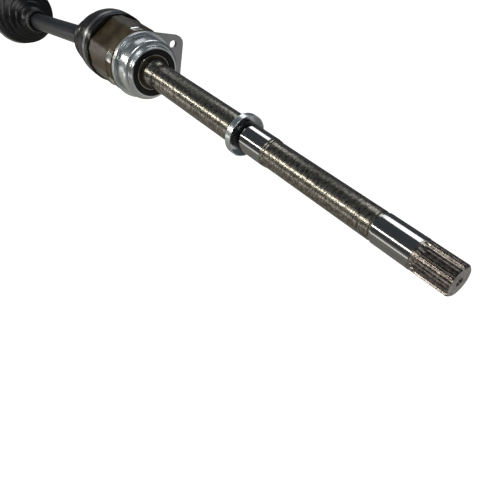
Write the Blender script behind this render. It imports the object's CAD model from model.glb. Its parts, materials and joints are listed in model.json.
"""Looks of the CV axle: boots, materials, floor, lights and camera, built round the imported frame."""
import json
import math

import bmesh
import bpy
from mathutils import Matrix, Quaternion, Vector


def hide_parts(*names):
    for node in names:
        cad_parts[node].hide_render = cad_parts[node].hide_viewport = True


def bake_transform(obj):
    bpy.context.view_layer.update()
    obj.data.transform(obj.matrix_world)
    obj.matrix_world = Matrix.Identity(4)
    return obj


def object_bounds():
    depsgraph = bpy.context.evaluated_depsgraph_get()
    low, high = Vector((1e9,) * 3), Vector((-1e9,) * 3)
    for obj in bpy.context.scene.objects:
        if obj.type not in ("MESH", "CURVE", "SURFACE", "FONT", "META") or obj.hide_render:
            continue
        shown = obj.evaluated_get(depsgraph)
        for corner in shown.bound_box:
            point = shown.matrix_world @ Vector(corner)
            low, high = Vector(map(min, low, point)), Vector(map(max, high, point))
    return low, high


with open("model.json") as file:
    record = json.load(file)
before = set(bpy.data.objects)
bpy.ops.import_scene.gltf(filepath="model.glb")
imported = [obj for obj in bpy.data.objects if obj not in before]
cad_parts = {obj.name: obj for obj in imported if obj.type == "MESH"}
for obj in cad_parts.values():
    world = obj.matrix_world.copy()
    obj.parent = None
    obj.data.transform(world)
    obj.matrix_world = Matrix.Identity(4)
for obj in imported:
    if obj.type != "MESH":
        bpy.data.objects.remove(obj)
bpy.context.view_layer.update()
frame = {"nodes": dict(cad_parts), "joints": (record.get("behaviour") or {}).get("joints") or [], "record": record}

MM = 0.001
JOINTS = {joint["name"]: joint for joint in frame["joints"]}

# ---- Places taken from the frame ------------------------------------------------------
INNER_PIVOT = Vector(JOINTS["inner_angle"]["pos_m"])
OUTER_PIVOT = Vector(JOINTS["outer_cage_tilt"]["pos_m"])
DROOP_AXIS = Vector(JOINTS["inner_angle"]["axis"]).normalized()
SHAFT = Vector((1, 0, 0))
BAR = (OUTER_PIVOT - INNER_PIVOT).normalized()
INNER_BEND = SHAFT.angle(BAR)
STUB_END = next(Vector(mount["pos_m"]) for mount in frame["record"]["mounts"]
                if mount["name"] == "stub_thread")
OUTER_BEND = BAR.angle(STUB_END - OUTER_PIVOT)


# ---- Material helpers -----------------------------------------------------------------
class Nodes:
    """A material's node tree, with short calls for the nodes used here."""

    def __init__(self, name):
        self.material = bpy.data.materials.new(name)
        self.material.use_nodes = True
        self.tree = self.material.node_tree
        self.shader = self.tree.nodes["Principled BSDF"]
        self.place = self.tree.nodes.new("ShaderNodeTexCoord").outputs["Object"]

    def set(self, **values):
        for key, value in values.items():
            self.shader.inputs[key.replace("_", " ")].default_value = value

    def link(self, source, socket):
        self.tree.links.new(source, self.shader.inputs[socket])

    def feed(self, socket, value):
        """Link a socket to another one, or set it to a plain value."""
        if isinstance(value, bpy.types.NodeSocket):
            self.tree.links.new(value, socket)
        else:
            socket.default_value = value

    def add(self, kind, **inputs):
        node = self.tree.nodes.new(kind)
        for key, value in inputs.items():
            self.feed(node.inputs[key], value)
        return node

    def scaled(self, factors):
        return self.add("ShaderNodeMapping", Vector=self.place, Scale=factors).outputs[0]

    def noise(self, factors, detail=4.0, rough=0.55, distortion=0.0):
        node = self.add("ShaderNodeTexNoise", Vector=self.scaled(factors), Scale=1.0, Detail=detail,
                        Roughness=rough, Distortion=distortion)
        return node.outputs["Fac"]

    def math(self, operation, first, second=0.5):
        node = self.tree.nodes.new("ShaderNodeMath")
        node.operation = operation
        for socket, value in zip(node.inputs, (first, second)):
            self.feed(socket, value)
        return node.outputs[0]

    def axis(self, letter):
        return self.add("ShaderNodeSeparateXYZ", Vector=self.place).outputs[letter]

    def ramp(self, factor, stops, sharp=False):
        node = self.add("ShaderNodeValToRGB", Fac=factor)
        ramp = node.color_ramp
        ramp.interpolation = "CONSTANT" if sharp else "LINEAR"
        while len(ramp.elements) < len(stops):
            ramp.elements.new(0.5)
        for element, (position, colour) in zip(ramp.elements, stops):
            element.position = position
            element.color = (*colour, 1.0)
        return node.outputs["Color"]

    def grey_ramp(self, factor, stops, sharp=False):
        return self.ramp(factor, [(place, (value,) * 3) for place, value in stops], sharp)

    def mix(self, factor, first, second):
        node = self.tree.nodes.new("ShaderNodeMix")
        node.data_type = "RGBA"
        sockets = [node.inputs[0], node.inputs[6], node.inputs[7]]
        for socket, value in zip(sockets, (factor, first, second)):
            self.feed(socket, (*value, 1.0) if isinstance(value, tuple) else value)
        return node.outputs[2]

    def bump(self, height, strength, distance):
        node = self.add("ShaderNodeBump", Height=height, Strength=strength, Distance=distance)
        self.tree.links.new(node.outputs["Normal"], self.shader.inputs["Normal"])


def along(nodes, start, end):
    """0 to 1 along X between two stations in millimetres."""
    shifted = nodes.math("SUBTRACT", nodes.axis("X"), start * MM)
    return nodes.math("DIVIDE", shifted, (end - start) * MM)


# ---- Materials ------------------------------------------------------------------------
# Stations and radii are in millimetres, about the bearing centre.
SHAFT_FROM, SHAFT_TO = -430.0, 20.0
SPLINE_END = -394.5
SEAL_JOURNAL = (-394.2, -357.2)
GROUND_SECTION = (-224.8, -186.0)
TULIP_FROM, TULIP_TO = 17.0, 107.0
TULIP_TURNED_TO = 29.5
TULIP_TURNED_RADIUS = 38.42   # only what stands proud of this was touched by the tool
TULIP_STRIP_RADIUS = 39.2     # the forging's worn outer strips
LOBE_COUNT = 3.0
LOBE_PHASE = math.radians(12.0)
LOBE_BESIDE = (-0.06, 0.70)   # cosine limits of the bright strips either side of a lobe
SPACER_LIP = (19.8, 20.7)     # bright ring on the face of the bearing spacer
SPACER_FACE = -5.0
RUBBER_GRAIN = 900.0


def turned_steel():
    """Intermediate shaft: mottled dark turned steel with ground, bright bands between stations."""
    nodes = Nodes("shaft_steel")
    station = along(nodes, SHAFT_FROM, SHAFT_TO)

    def at(position):
        return (position - SHAFT_FROM) / (SHAFT_TO - SHAFT_FROM)

    ground = nodes.grey_ramp(station, [
        (0.0, 0.0), (at(SEAL_JOURNAL[0]), 1.0), (at(SEAL_JOURNAL[1]), 0.0),
        (at(GROUND_SECTION[0]), 1.0), (at(GROUND_SECTION[1]), 0.0)], True)
    teeth = nodes.grey_ramp(station, [(0.0, 1.0), (at(SPLINE_END), 0.0)], True)
    streaks = nodes.noise((1100.0, 240.0, 240.0), 3.0, 0.6, 0.3)
    patches = nodes.noise((420.0, 300.0, 300.0), 4.0, 0.6)
    lathe = nodes.noise((2600.0, 8.0, 8.0), 2.0, 0.5)
    stain = nodes.noise((22.0, 60.0, 60.0), 3.0, 0.5)
    mottle = nodes.math("ADD", nodes.math("MULTIPLY", streaks, 0.6),
                        nodes.math("MULTIPLY", patches, 0.4))
    rough_colour = nodes.ramp(mottle, [(0.38, (0.045, 0.042, 0.040)), (0.47, (0.17, 0.160, 0.140)),
                                       (0.55, (0.34, 0.320, 0.275)), (0.65, (0.56, 0.530, 0.460))])
    ground_colour = nodes.ramp(stain, [(0.35, (0.30, 0.30, 0.30)), (0.65, (0.38, 0.38, 0.38))])
    tooth_colour = nodes.ramp(patches, [(0.38, (0.14, 0.125, 0.115)), (0.62, (0.40, 0.36, 0.33))])
    colour = nodes.mix(ground, rough_colour, ground_colour)
    colour = nodes.mix(teeth, colour, tooth_colour)
    nodes.link(colour, "Base Color")
    rough_shine = nodes.grey_ramp(mottle, [(0.38, 0.28), (0.62, 0.24)])
    ground_shine = nodes.grey_ramp(lathe, [(0.35, 0.09), (0.65, 0.13)])
    nodes.link(nodes.mix(ground, rough_shine, ground_shine), "Roughness")
    nodes.set(Metallic=1.0)
    return nodes.material


def zinc_plate():
    """Bright, faintly blue plating with turning marks round the shaft."""
    nodes = Nodes("zinc")
    cloud = nodes.noise((60.0, 60.0, 60.0), 3.0)
    marks = nodes.noise((2400.0, 10.0, 10.0), 2.0)
    tint = nodes.ramp(cloud, [(0.35, (0.64, 0.68, 0.69)), (0.65, (0.80, 0.84, 0.85))])
    nodes.link(tint, "Base Color")
    nodes.link(nodes.grey_ramp(marks, [(0.3, 0.22), (0.7, 0.28)]), "Roughness")
    nodes.set(Metallic=1.0)
    return nodes.material


def plate_steel():
    """Blanked and plated plate: satin, slightly clouded."""
    nodes = Nodes("plate_steel")
    cloud = nodes.noise((45.0, 45.0, 45.0), 4.0)
    grain = nodes.noise((700.0, 700.0, 700.0), 2.0)
    tint = nodes.ramp(cloud, [(0.35, (0.46, 0.46, 0.46)), (0.65, (0.60, 0.60, 0.60))])
    nodes.link(tint, "Base Color")
    nodes.link(nodes.grey_ramp(cloud, [(0.35, 0.34), (0.65, 0.44)]), "Roughness")
    nodes.set(Metallic=0.9)
    nodes.bump(grain, 0.1, 0.0001)
    return nodes.material


def forged_steel():
    """Brown-olive forging skin, bright where the closed end was turned and on the spacer's lip."""
    nodes = Nodes("forged_steel")
    station = along(nodes, TULIP_FROM, TULIP_TO)
    turned_share = (TULIP_TURNED_TO - TULIP_FROM) / (TULIP_TO - TULIP_FROM)
    turned_end = nodes.grey_ramp(station, [(0.0, 1.0), (turned_share, 0.0)], True)
    radius = nodes.math("SQRT", nodes.math("ADD", nodes.math("POWER", nodes.axis("Y"), 2.0),
                                           nodes.math("POWER", nodes.axis("Z"), 2.0)))
    proud = nodes.math("GREATER_THAN", radius, TULIP_TURNED_RADIUS * MM)
    angle = nodes.math("ARCTAN2", nodes.axis("Z"), nodes.axis("Y"))
    lobes = nodes.math("COSINE", nodes.math(
        "MULTIPLY", nodes.math("ADD", angle, LOBE_PHASE), LOBE_COUNT))
    beside = nodes.math("MULTIPLY", nodes.math("LESS_THAN", lobes, LOBE_BESIDE[1]),
                        nodes.math("GREATER_THAN", lobes, LOBE_BESIDE[0]))
    turned_strip = nodes.math("MULTIPLY", nodes.math("MULTIPLY", turned_end, proud), beside)
    lip = nodes.math("MULTIPLY", nodes.math("GREATER_THAN", radius, SPACER_LIP[0] * MM),
                     nodes.math("LESS_THAN", radius, SPACER_LIP[1] * MM))
    lip = nodes.math("MULTIPLY", lip, nodes.math("LESS_THAN", nodes.axis("X"), SPACER_FACE * MM))
    bright = nodes.math("MAXIMUM", turned_strip, lip)
    strip = nodes.math("GREATER_THAN", radius, TULIP_STRIP_RADIUS * MM)
    cloud = nodes.noise((32.0, 45.0, 45.0), 5.0, 0.6)
    grit = nodes.noise((420.0, 420.0, 420.0), 3.0)
    skin = nodes.ramp(cloud, [(0.32, (0.050, 0.036, 0.020)), (0.5, (0.105, 0.082, 0.048)),
                              (0.68, (0.175, 0.150, 0.105))])
    worn = nodes.ramp(cloud, [(0.35, (0.10, 0.09, 0.08)), (0.65, (0.20, 0.18, 0.16))])
    colour = nodes.mix(strip, skin, worn)
    colour = nodes.mix(bright, colour, (0.86, 0.86, 0.84))
    nodes.link(colour, "Base Color")
    skin_shine = nodes.grey_ramp(cloud, [(0.35, 0.42), (0.65, 0.56)])
    nodes.link(nodes.mix(bright, skin_shine, (0.22,) * 3), "Roughness")
    nodes.link(nodes.math("ADD", nodes.math("MULTIPLY", bright, 0.3), 0.7), "Metallic")
    nodes.bump(grit, 0.16, 0.0002)
    return nodes.material


def plain_metal(name, dark, light, rough, marks=260.0, depth=0.1):
    """Metal whose colour and gloss drift a little between two values."""
    nodes = Nodes(name)
    cloud = nodes.noise((55.0, 55.0, 55.0), 4.0)
    fine = nodes.noise((marks,) * 3, 3.0)
    nodes.link(nodes.ramp(cloud, [(0.34, dark), (0.66, light)]), "Base Color")
    nodes.link(nodes.grey_ramp(fine, [(0.3, rough - 0.05), (0.7, rough + 0.06)]), "Roughness")
    nodes.set(Metallic=1.0)
    nodes.bump(fine, depth, 0.0001)
    return nodes.material


def bar_coating():
    """Satin blue-black coat on the bar shaft."""
    nodes = Nodes("bar_black")
    cloud = nodes.noise((25.0, 70.0, 70.0), 4.0)
    peel = nodes.noise((520.0, 520.0, 520.0), 2.0)
    coat = nodes.ramp(cloud, [(0.35, (0.011, 0.013, 0.017)), (0.65, (0.022, 0.026, 0.034))])
    nodes.link(coat, "Base Color")
    nodes.link(nodes.grey_ramp(cloud, [(0.35, 0.28), (0.65, 0.36)]), "Roughness")
    nodes.set(Metallic=0.45, Coat_Weight=0.25, Coat_Roughness=0.2)
    nodes.bump(peel, 0.12, 0.0002)
    return nodes.material


def rubber(name, dark, light, rough):
    """Moulded rubber: near black, with a dusty bloom and fine grain."""
    nodes = Nodes(name)
    bloom = nodes.noise((38.0, 38.0, 38.0), 5.0, 0.6)
    fine = nodes.noise((RUBBER_GRAIN,) * 3, 3.0)
    nodes.link(nodes.ramp(bloom, [(0.35, dark), (0.68, light)]), "Base Color")
    nodes.link(nodes.grey_ramp(bloom, [(0.35, rough - 0.05), (0.68, rough + 0.08)]), "Roughness")
    nodes.set(Specular_IOR_Level=0.34)
    nodes.bump(fine, 0.05, 0.0001)
    return nodes.material


MATERIALS = {
    "shaft_steel": turned_steel(),
    "zinc": zinc_plate(),
    "plate_steel": plate_steel(),
    "forged_steel": forged_steel(),
    "bar_black": bar_coating(),
    "boot_rubber": rubber("boot_rubber", (0.005, 0.005, 0.006), (0.012, 0.012, 0.014), 0.29),
    "rubber_seal": rubber("rubber_seal", (0.006, 0.006, 0.006), (0.014, 0.013, 0.014), 0.45),
    "shield_black": rubber("shield_black", (0.010, 0.010, 0.010), (0.022, 0.022, 0.022), 0.48),
    "bearing_steel": plain_metal("bearing_steel", (0.55, 0.55, 0.56), (0.70, 0.70, 0.70), 0.14),
    "cage_steel": plain_metal("cage_steel", (0.36, 0.36, 0.36), (0.50, 0.50, 0.50), 0.30),
    "hard_steel": plain_metal("hard_steel", (0.30, 0.30, 0.31), (0.44, 0.44, 0.44), 0.26),
    "bell_steel": plain_metal("bell_steel", (0.10, 0.09, 0.08), (0.20, 0.19, 0.17), 0.40,
                              marks=330.0, depth=0.16),
    "clamp_steel": plain_metal("clamp_steel", (0.26, 0.27, 0.28), (0.36, 0.37, 0.38), 0.30),
}


def dress_frame():
    """Every CAD node that stays gets its slot's node material and shades smooth up to its edges."""
    slots = {row["node"]: row["material_slot"] for row in frame["record"]["subparts"]}
    for name, node in frame["nodes"].items():
        node.data.materials.clear()
        node.data.materials.append(MATERIALS[slots[name]])


# ---- Boots ----------------------------------------------------------------------------
# Millimetres from each joint's centre, along the boot's own bent centre line.
BOOT_SIDES = 144
BOOT_WALL = 2.0
BAR_RADIUS = 12.75
BAR_CLEARANCE = 0.1
INNER_DROOP = (22.0, 60.0)    # where the inner boot's bend begins and ends
OUTER_DROOP = (-86.0, -20.0)
OUTER_CUFF_BORE = -90.0       # before this the outer boot is bored to the bar
BELL_BORE_FROM = -17.0
BELL_BORE = 45.05


def ease(value):
    value = max(0.0, min(1.0, value))
    return value * value * (3 - 2 * value)


def inner_droop(distance):
    start, end = INNER_DROOP
    return INNER_BEND * ease((distance - start) / (end - start))


def outer_droop(distance):
    start, end = OUTER_DROOP
    return INNER_BEND + OUTER_BEND * ease((distance - start) / (end - start))


def smooth_profile(stations, step=0.8):
    """Round-nosed outline through (distance, radius) turning points, in even short steps."""
    points = []
    for (start, low), (end, high) in zip(stations, stations[1:]):
        count = max(1, round((end - start) / step))
        for index in range(count):
            share = index / count
            points.append((start + (end - start) * share, low + (high - low) * ease(share)))
    return points + [stations[-1]]


def tube_mesh(name, rings):
    """Closed torus-like mesh from rings of points, the last ring joined back to the first."""
    mesh = bpy.data.meshes.new(name)
    sides = len(rings[0])
    vertices = [point for points in rings for point in points]
    faces = []
    for index in range(len(rings)):
        following = (index + 1) % len(rings)
        for side in range(sides):
            other = (side + 1) % sides
            faces.append((index * sides + side, index * sides + other,
                          following * sides + other, following * sides + side))
    mesh.from_pydata(vertices, [], faces)
    build = bmesh.new()
    build.from_mesh(mesh)
    bmesh.ops.recalc_face_normals(build, faces=build.faces)
    build.to_mesh(mesh)
    build.free()
    mesh.polygons.foreach_set("use_smooth", [True] * len(mesh.polygons))
    piece = bpy.data.objects.new(name, mesh)
    bpy.context.scene.collection.objects.link(piece)
    return piece


def ring_points(pivot, droop, distance, radius_at):
    """Points of one ring about a joint centre, square to its own droop."""
    turn = Quaternion(DROOP_AXIS, droop)
    forward = turn @ SHAFT
    up = turn @ DROOP_AXIS.cross(SHAFT)
    points = []
    for index in range(BOOT_SIDES):
        angle = 2 * math.pi * index / BOOT_SIDES
        reach = radius_at(angle) * MM
        points.append(pivot + forward * (distance * MM)
                      + DROOP_AXIS * (math.cos(angle) * reach) + up * (math.sin(angle) * reach))
    return points


def boot_half(name, pivot, droop_at, outside, inside_at):
    """One half of a boot: its outside skin, then its inside skin back to the start."""
    rings = []
    for distance, radius in outside:
        rings.append(ring_points(pivot, droop_at(distance), distance, lambda angle, r=radius: r))
    for distance, radius in reversed(outside):
        rings.append(ring_points(pivot, droop_at(distance), distance, inside_at(distance, radius)))
    piece = tube_mesh(name, rings)
    piece.data.materials.append(MATERIALS["boot_rubber"])
    return piece


TULIP_CORNER_RADIUS = 40.2
TULIP_CLEARANCE = 0.05
TULIP_CORNERS = [math.radians(120 * lobe + offset)
                 for lobe in range(3) for offset in (-31, -15, 15, 31)]


def tulip_radius(angle):
    """Radius of the tulip's forged outline at an angle from its first lobe."""
    angle = angle % (2 * math.pi)
    corners = sorted(corner % (2 * math.pi) for corner in TULIP_CORNERS)
    corners = [corners[-1] - 2 * math.pi] + corners + [corners[0] + 2 * math.pi]
    for low, high in zip(corners, corners[1:]):
        if low <= angle <= high:
            half = (high - low) / 2
            return TULIP_CORNER_RADIUS * math.cos(half) / math.cos(angle - low - half)
    return TULIP_CORNER_RADIUS


TULIP_RIM = 20.0
RIM_BLEND = 1.5               # the lobed bore turns round over this much past the rim
THINNEST_CUFF = 1.0
INNER_SEAM = 40.0
INNER_BOOT_A = [(-6, 41.2), (-4.5, 42.2), (1.4, 42.2), (1.9, 41.3), (7.9, 41.3), (8.4, 42.2),
                (14, 42.0), (TULIP_RIM, 41.0), (27, 39.0), (33, 34.0), (INNER_SEAM, 35.5)]
INNER_BOOT_B = [(INNER_SEAM, 35.5), (47, 30.5), (54, 32.5), (61, 27.0), (68, 29.0), (76, 21.0),
                (86, 16.9), (89.8, 16.9), (90.6, 16.5), (97.4, 16.5), (98.2, 16.9), (101, 16.9),
                (102, 16.3)]
OUTER_SEAM = -36.0
OUTER_BOOT_A = [(-104, 16.3), (-103, 16.9), (-100.8, 16.9), (-100.2, 16.5), (-91.8, 16.5),
                (-91.2, 16.9), (-88, 16.9), (-84, 21.0), (-79.5, 18.5), (-75, 28.0), (-70, 23.5),
                (-64.5, 35.0), (-59, 29.0), (-53, 42.0), (-47.5, 35.5), (-41.5, 47.0),
                (OUTER_SEAM, 40.0)]
OUTER_BOOT_B = [(OUTER_SEAM, 40.0), (-30, 48.6), (-22, 45.6), (-17, 47.5), (-13, 47.5),
                (-12.6, 46.75), (-2.4, 46.75), (-2, 47.5), (2, 47.3)]


def round_bore(radius):
    """Inside radius where the wall has its plain thickness, kept clear of the bar."""
    return max(radius - BOOT_WALL, BAR_RADIUS + BAR_CLEARANCE)


def inner_boot_inside(distance, radius):
    """Lobed to fit the tulip up to its rim, round beyond it."""
    def lobed(angle):
        return min(tulip_radius(angle) + TULIP_CLEARANCE, radius - THINNEST_CUFF)

    if distance <= TULIP_RIM:
        return lobed
    share = ease((distance - TULIP_RIM) / RIM_BLEND)
    return lambda angle: (1 - share) * lobed(angle) + share * round_bore(radius)


def outer_boot_inside(distance, radius):
    if distance >= BELL_BORE_FROM:
        return lambda angle: BELL_BORE
    if distance <= OUTER_CUFF_BORE:
        return lambda angle: BAR_RADIUS + BAR_CLEARANCE
    return lambda angle: round_bore(radius)


def boots():
    """Each boot is two halves that meet at a seam, because it crosses two joints."""
    near = boot_half("inner_boot_large_half", INNER_PIVOT, inner_droop,
                     smooth_profile(INNER_BOOT_A), inner_boot_inside)
    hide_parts("inner_boot")
    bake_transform(near)
    far = boot_half("inner_boot_small_half", INNER_PIVOT, inner_droop,
                    smooth_profile(INNER_BOOT_B), inner_boot_inside)
    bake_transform(far)

    bar_side = boot_half("outer_boot_small_half", OUTER_PIVOT, outer_droop,
                         smooth_profile(OUTER_BOOT_A), outer_boot_inside)
    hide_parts("outer_boot")
    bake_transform(bar_side)
    bell_side = boot_half("outer_boot_large_half", OUTER_PIVOT, outer_droop,
                          smooth_profile(OUTER_BOOT_B), outer_boot_inside)
    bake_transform(bell_side)


# ---- Floor, lights, camera -------------------------------------------------------------
WHITE = (1.0, 1.0, 1.0)
FLOOR_SIZE = 24.0
FLOOR_DROP = 0.30             # below the part's lowest point, so no contact shadow falls in view
FLOOR_GLOW = 0.95             # added where the camera sees the floor directly: pale studio white
FLOOR_BOUNCE = 0.04           # what reflections and bounced light get from it
WORLD_COLOUR = (0.80, 0.90, 1.0)
WORLD_STRENGTH = 0.11
# Strips parallel to the shaft: name, degrees from +Y towards +Z, distance, centre X,
# size along and across the shaft, watts, colour.
STRIPS = [
    ("key_strip", 16.0, 1.25, 0.9, (3.2, 0.09), 16.0, (1.0, 0.96, 0.86)),
    ("journal_card", 113.0, 1.3, 0.13, (0.30, 0.72), 2.4, WHITE),
    ("collar_card", 113.0, 1.3, 0.96, (0.22, 0.60), 1.5, WHITE),
    ("housing_card", 105.0, 1.3, 2.0, (0.50, 0.90), 1.9, WHITE),
    ("low_strip", -25.0, 0.9, 0.9, (3.2, 0.12), 1.8, WHITE),
]
# Free-standing cards: name, place, target, size, watts, colour.
CARDS = [
    ("front_soft", (-1.3, 0.9, 1.6), (0, 0, 0), (0.8, 0.8), 9.0, WHITE),
    ("face_card", (-0.60, -0.50, -0.28), (-0.2, 0, 0), (0.36, 0.36), 0.11, WHITE),
]
CAMERA_PLACE = Vector((-0.53876, 0.31712, 0.20772))
CAMERA_RIGHT = Vector((-0.60153, -0.78415, 0.15242))
CAMERA_UP = Vector((0.53324, -0.25207, 0.80751))
CAMERA_BACK = Vector((-0.59482, 0.56702, 0.56976))
LENS = 39.87
SENSOR_WIDTH = 36.0
NEAREST, FARTHEST = 0.01, 60.0


def floor():
    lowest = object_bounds()[0].z
    nodes = Nodes("pale_floor")
    cloud = nodes.noise((2.0, 2.0, 2.0), 3.0)
    nodes.link(nodes.ramp(cloud, [(0.3, (0.44, 0.42, 0.38)), (0.7, (0.48, 0.46, 0.42))]), "Base Color")
    nodes.set(Roughness=0.9, Emission_Color=(*WHITE, 1.0))
    seen = nodes.add("ShaderNodeLightPath").outputs["Is Camera Ray"]
    glow = nodes.math("ADD", nodes.math("MULTIPLY", seen, FLOOR_GLOW), FLOOR_BOUNCE)
    nodes.link(glow, "Emission Strength")
    bpy.ops.mesh.primitive_plane_add(size=FLOOR_SIZE, location=(0, 0, lowest - FLOOR_DROP))
    plane = bpy.context.object
    plane.name = "studio_floor"
    plane.data.materials.append(nodes.material)


def area_light(name, place, target, size, power, colour):
    """Rectangular light at a place, facing a target, its long side parallel to the shaft."""
    data = bpy.data.lights.new(name, "AREA")
    data.shape = "RECTANGLE"
    data.size, data.size_y = size
    data.energy = power
    data.color = colour
    light = bpy.data.objects.new(name, data)
    bpy.context.scene.collection.objects.link(light)
    light.location = place
    aim = (Vector(target) - Vector(place)).normalized()
    across_shaft = aim.cross(SHAFT).normalized()
    along_shaft = across_shaft.cross(aim).normalized()
    light.matrix_world = Matrix.Translation(place) @ Matrix(
        (along_shaft, across_shaft, -aim)).transposed().to_4x4()


def lights():
    for name, elevation, reach, centre_x, size, power, colour in STRIPS:
        angle = math.radians(elevation)
        place = Vector((centre_x, math.cos(angle) * reach, math.sin(angle) * reach))
        area_light(name, place, (centre_x, 0, 0), size, power, colour)
    for card in CARDS:
        area_light(*card)
    world = bpy.data.worlds.new("studio")
    bpy.context.scene.world = world
    world.use_nodes = True
    background = world.node_tree.nodes["Background"]
    background.inputs["Color"].default_value = (*WORLD_COLOUR, 1.0)
    background.inputs["Strength"].default_value = WORLD_STRENGTH


def camera():
    data = bpy.data.cameras.new("camera")
    data.lens = LENS
    data.sensor_width = SENSOR_WIDTH
    data.clip_start, data.clip_end = NEAREST, FARTHEST
    view = bpy.data.objects.new("camera", data)
    bpy.context.scene.collection.objects.link(view)
    turn = Matrix((CAMERA_RIGHT, CAMERA_UP, CAMERA_BACK)).transposed()
    view.matrix_world = Matrix.Translation(CAMERA_PLACE) @ turn.to_4x4()
    bpy.context.scene.camera = view


camera()
dress_frame()
boots()
floor()
lights()
bpy.context.scene.view_settings.view_transform = "Standard"
